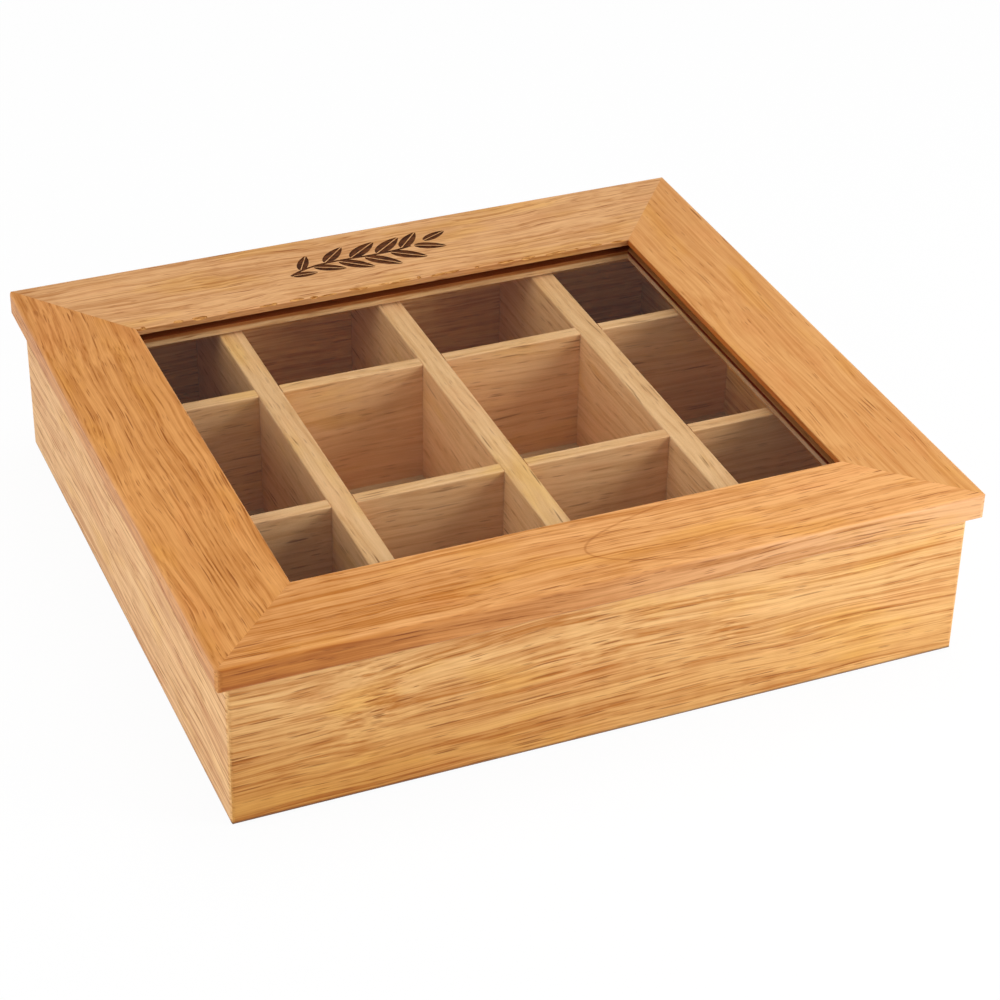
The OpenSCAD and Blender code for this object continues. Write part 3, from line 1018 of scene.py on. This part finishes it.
def hurt_wood(name, fineness, scorched, edges, low, high, rough, depth, shine):
    """Open fibres, as a burn or a tear leaves them. Scorched is how much a cloud of
    scorch counts beside the fibres, and low and high are the tones on both sides of
    the edges."""
    made = bpy.data.materials.new(name)
    made.use_nodes = True
    tree = made.node_tree
    finish = tree.nodes["Principled BSDF"]
    spot = spot_on(tree)
    fibre = noise(tree, vector_calc(tree, "MULTIPLY", spot, fineness), detail=3.0)[0]
    scorch = noise(tree, vector_calc(tree, "MULTIPLY", spot, (0.5, 0.5, 0.5)))[0]
    scorch = calc(tree, "MULTIPLY", scorch, scorched)
    tone = calc(tree, "MULTIPLY_ADD", fibre, 1.0 - scorched, scorch)
    colour = blend(tree, step(tree, tone, *edges), low, high)
    bump = shade(
        tree, "ShaderNodeBump", {"Strength": 0.8, "Distance": depth, "Height": tone}
    )
    tree.links.new(colour, finish.inputs["Base Color"])
    tree.links.new(calc(tree, "MULTIPLY_ADD", fibre, *rough), finish.inputs["Roughness"])
    tree.links.new(bump.outputs[0], finish.inputs["Normal"])
    finish.inputs["Specular IOR Level"].default_value = shine
    return made


char = hurt_wood(
    "burnt_wood",
    fineness=(0.16, 1.6, 1.6),
    scorched=0.4,
    edges=(0.38, 0.62),
    low=paint(58, 28, 12),
    high=paint(104, 58, 28),
    rough=(0.3, 0.6),
    depth=0.00015,
    shine=0.2,
)
# Torn fibres in the chips, in a tone darker than the rail's: painted shade in the hollows
torn_and_shaded = hurt_wood(
    "torn_wood",
    fineness=(0.2, 2.4, 2.4),
    scorched=0.0,
    edges=(0.35, 0.65),
    low=paint(214, 158, 92),
    high=paint(150, 92, 36),
    rough=(0.0, 0.75),
    depth=0.0002,
    shine=0.15,
)

back_wood = board(
    "rail_back",
    "X",
    22.7,
    paint(222, 170, 116),
    paint(178, 118, 62),
    RAIL_PORE,
    heart=(0.0, 150.0, 20.0),
    taper=0.05,
    contrast=1.3,
    waves=2.0,
    pores=0.5,
    streaks=0.2,
    marks=(end_edge,),
)
back_low, back_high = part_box("rail_back")
back_rail = bpy.data.objects.new("back_rail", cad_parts["rail_back"].data.copy())
scene.collection.objects.link(back_rail)
back_rail.data.materials.clear()
back_rail.data.materials.append(back_wood)
work = bmesh.new()
work.from_mesh(back_rail.data)
bmesh.ops.remove_doubles(work, verts=work.verts, dist=WELD)
work.to_mesh(back_rail.data)
work.free()

sprig = grow(
    "sprig",
    leaf_sprig(),
    length=SPRIG_LENGTH,
    sway=SPRIG_SWAY,
    stem_width=STEM_WIDTH,
    leaves=LEAF_COUNT,
    leaf_length=LEAF_LENGTH,
    leaf_width=LEAF_WIDTH,
    rib=LEAF_RIB,
    turn=LEAF_TURN,
    thickness=BURN_DEPTH + BURN_CLEAR,
    place=(*SPRIG_PLACE, back_high.z + (BURN_CLEAR - BURN_DEPTH) / 2),
    material=char,
)
chips = grow(
    "chips",
    arris_chips(),
    count=CHIP_COUNT,
    start=(-WINDOW_HALF, back_low.y + CHIP_INSET, back_high.z - CHIP_INSET),
    end=(WINDOW_HALF, back_low.y + CHIP_INSET, back_high.z - CHIP_INSET),
    size=CHIP_SIZE,
    seed=CHIP_SEED,
    material=torn_and_shaded,
)
for cutter in (sprig, chips):
    cut = back_rail.modifiers.new(cutter.name, "BOOLEAN")
    cut.operation = "DIFFERENCE"
    cut.solver = "EXACT"
    cut.use_self = True
    cut.material_mode = "TRANSFER"
    cut.object = cutter
own_mesh(back_rail)
for cutter in (sprig, chips):
    bpy.data.objects.remove(cutter)
soften(back_rail)
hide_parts("rail_back")
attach(back_rail, "lid")

# Window pane
# A sheet of clear acrylic with sawn edges. It lies loose on the lower lip of the groove
# in the rails, with room to grow at its edges.
SHEET_TINT = (0.97, 0.98, 0.975, 1)
SHEET_LOOKS = {
    "Base Color": SHEET_TINT,
    "Transmission Weight": 1.0,
    "IOR": 1.49,
    "Roughness": 0.02,
    "Specular IOR Level": 0.2,
}
pane_material = bpy.data.materials.new("clear_sheet")
pane_material.use_nodes = True
tree = pane_material.node_tree
sheet = tree.nodes["Principled BSDF"]
for key, value in SHEET_LOOKS.items():
    sheet.inputs[key].default_value = value
light_path = shade(tree, "ShaderNodeLightPath").outputs
lamp_ray = calc(tree, "MAXIMUM", light_path["Is Shadow Ray"], light_path["Is Diffuse Ray"])
open_air = shade(tree, "ShaderNodeBsdfTransparent", {"Color": SHEET_TINT})
pane_surface = shade(
    tree, "ShaderNodeMixShader", {0: lamp_ray, 1: sheet.outputs[0], 2: open_air.outputs[0]}
)
tree.links.new(pane_surface.outputs[0], tree.nodes["Material Output"].inputs["Surface"])
finish_node("window_pane", pane_material)

# Hinges
# Two small butt hinges of satin brass with five knuckles each, let into the back wall
# and the back rail, and turning on a plain pin.
TARNISH = (420.0, 420.0, 420.0)
TARNISH_EDGES = (0.40, 0.80)
SCRATCHES = (160.0, 7000.0, 7000.0)
SCRATCH_DEPTH = 0.00003
SCRATCH_ROUGHNESS = 0.2


def brass_finish(name, bright, dull, roughest):
    """Brass with faint tarnish and fine scratches along the pin."""
    made = bpy.data.materials.new(name)
    made.use_nodes = True
    tree = made.node_tree
    metal = tree.nodes["Principled BSDF"]
    metal.inputs["Metallic"].default_value = 1.0
    place = shade(tree, "ShaderNodeTexCoord").outputs["Object"]
    tarnish = noise(tree, vector_calc(tree, "MULTIPLY", place, TARNISH), detail=3.0)[0]
    brushed = noise(tree, vector_calc(tree, "MULTIPLY", place, SCRATCHES), detail=3.0)[0]
    colour = blend(tree, step(tree, tarnish, *TARNISH_EDGES), bright, dull)
    smoothest = roughest - SCRATCH_ROUGHNESS
    rough = calc(tree, "MULTIPLY_ADD", brushed, SCRATCH_ROUGHNESS, smoothest)
    bump = shade(
        tree,
        "ShaderNodeBump",
        {"Strength": 0.25, "Distance": SCRATCH_DEPTH, "Height": brushed},
    )
    tree.links.new(colour, metal.inputs["Base Color"])
    tree.links.new(rough, metal.inputs["Roughness"])
    tree.links.new(bump.outputs[0], metal.inputs["Normal"])
    return made


brass = brass_finish("satin_brass", paint(220, 184, 104), paint(190, 152, 80), 0.50)
for side in ("left", "right"):
    for part in ("case_leaf", "lid_leaf", "pin"):
        finish_node(f"hinge_{side}_{part}", brass)

# Hinge screws
# Eight small countersunk brass screws with a cross recess, four down into the back wall
# and four up into the back rail. No two recesses point the same way.
SCREW_HEAD_R = 0.002
SCREW_HEAD_H = 0.001
SCREW_CHAMFER = 0.06
SCREW_SHANK_R = 0.0011
SCREW_LENGTH = 0.008
SCREW_POINT = 0.0018
SCREW_TIP = 0.12
SCREW_SIDES = 28
RECESS_SPAN = 0.0023
RECESS_WIDTH = 0.00055
RECESS_DEPTH = 0.0006
SCREW_SPACING = 0.02


def hinge_screws():
    """Turned screws with a cross cut into each head, in a pair for each hinge."""
    tree, given = plant(
        "hinge_screws",
        (
            ("Head radius", "Float"),
            ("Head height", "Float"),
            ("Shank radius", "Float"),
            ("Length", "Float"),
            ("Point", "Float"),
            ("Recess span", "Float"),
            ("Recess width", "Float"),
            ("Recess depth", "Float"),
            ("Hinge spacing", "Float"),
            ("Screw spacing", "Float"),
            ("Place", "Vector"),
            ("Tilt", "Float"),
            ("Seed", "Int"),
            ("Material", "Material"),
        ),
    )
    # The profile, from the head's top down: how far down, and how wide
    chamfer = calc(tree, "MULTIPLY", given["Head radius"], SCREW_CHAMFER)
    profile = (
        (0.0, calc(tree, "SUBTRACT", given["Head radius"], chamfer)),
        (chamfer, given["Head radius"]),
        (given["Head height"], given["Shank radius"]),
        (calc(tree, "SUBTRACT", given["Length"], given["Point"]), given["Shank radius"]),
        (given["Length"], calc(tree, "MULTIPLY", given["Shank radius"], SCREW_TIP)),
    )
    index = shade(tree, "GeometryNodeInputIndex").outputs[0]

    def by_index(column):
        """The profile's number for each point of the line."""
        switch = shade(tree, "GeometryNodeIndexSwitch", data_type="FLOAT")
        while len(switch.index_switch_items) < len(profile):
            switch.index_switch_items.new()
        tree.links.new(index, switch.inputs["Index"])
        for row, socket in zip(profile, switch.inputs[1:]):
            if isinstance(row[column], bpy.types.NodeSocket):
                tree.links.new(row[column], socket)
            else:
                socket.default_value = row[column]
        return switch.outputs[0]

    line = shade(tree, "GeometryNodeMeshLine", {"Count": len(profile)}).outputs[0]
    down = triple(tree, 0.0, 0.0, calc(tree, "MULTIPLY", by_index(0), -1.0))
    axis = shade(tree, "GeometryNodeSetPosition", {"Geometry": line, "Position": down})
    axis = shade(tree, "GeometryNodeMeshToCurve", {0: axis.outputs[0]}).outputs[0]
    ring = shade(
        tree, "GeometryNodeCurvePrimitiveCircle", {"Resolution": SCREW_SIDES, "Radius": 1.0}
    ).outputs[0]
    blank = shade(
        tree,
        "GeometryNodeCurveToMesh",
        {"Curve": axis, "Profile Curve": ring, "Scale": by_index(1), "Fill Caps": True},
    ).outputs[0]
    deep = calc(tree, "MULTIPLY", given["Recess depth"], 2.0)
    slots = [
        shade(tree, "GeometryNodeMeshCube", {"Size": triple(tree, *size)}).outputs[0]
        for size in (
            (given["Recess span"], given["Recess width"], deep),
            (given["Recess width"], given["Recess span"], deep),
        )
    ]
    cross = shade(tree, "GeometryNodeMeshBoolean", operation="UNION", solver="EXACT")
    for slot in slots:
        tree.links.new(slot, cross.inputs["Mesh 2"])
    screw = shade(
        tree,
        "GeometryNodeMeshBoolean",
        {"Mesh 1": blank, "Mesh 2": cross.outputs[0]},
        operation="DIFFERENCE",
        solver="EXACT",
    ).outputs[0]

    # Two screws at each of two hinges
    def pair(spacing):
        apart = triple(tree, spacing)
        return shade(
            tree,
            "GeometryNodeMeshLine",
            {
                "Count": 2,
                "Start Location": vector_calc(tree, "MULTIPLY", apart, (-0.5, 0.0, 0.0)),
                "Offset": apart,
            },
        ).outputs[0]

    spots = shade(
        tree,
        "GeometryNodeInstanceOnPoints",
        {"Points": pair(given["Hinge spacing"]), "Instance": pair(given["Screw spacing"])},
    ).outputs[0]
    spots = shade(tree, "GeometryNodeRealizeInstances", {"Geometry": spots}).outputs[0]
    spun = chance(tree, 0.0, math.pi / 2, given["Seed"])
    facing = triple(tree, given["Tilt"], 0.0, spun)
    facing = shade(tree, "FunctionNodeEulerToRotation", {0: facing}).outputs[0]
    turned = shade(
        tree,
        "GeometryNodeInstanceOnPoints",
        {"Points": spots, "Instance": screw, "Rotation": facing},
    ).outputs[0]
    placed = shade(
        tree, "GeometryNodeTransform", {"Geometry": turned, "Translation": given["Place"]}
    ).outputs[0]
    end_tree(tree, placed, given["Material"])
    return tree


screw_brass = brass_finish("turned_brass", paint(240, 212, 140), paint(214, 180, 104), 0.32)
screw_kit = hinge_screws()
for body, tilt, seed in (("case", 0.0, 3), ("lid", math.pi, 8)):
    low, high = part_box(f"hinge_{body}_screws")
    heads_up = body == "case"
    screws = grow(
        f"{body}_hinge_screws",
        screw_kit,
        head_radius=SCREW_HEAD_R,
        head_height=SCREW_HEAD_H,
        shank_radius=SCREW_SHANK_R,
        length=SCREW_LENGTH,
        point=SCREW_POINT,
        recess_span=RECESS_SPAN,
        recess_width=RECESS_WIDTH,
        recess_depth=RECESS_DEPTH,
        hinge_spacing=high.x - low.x - 2 * SCREW_HEAD_R - SCREW_SPACING,
        screw_spacing=SCREW_SPACING,
        place=(0.0, (low.y + high.y) / 2, high.z if heads_up else low.z),
        tilt=tilt,
        seed=seed,
        material=screw_brass,
    )
    soften(screws)
    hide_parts(f"hinge_{body}_screws")
    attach(screws, body)
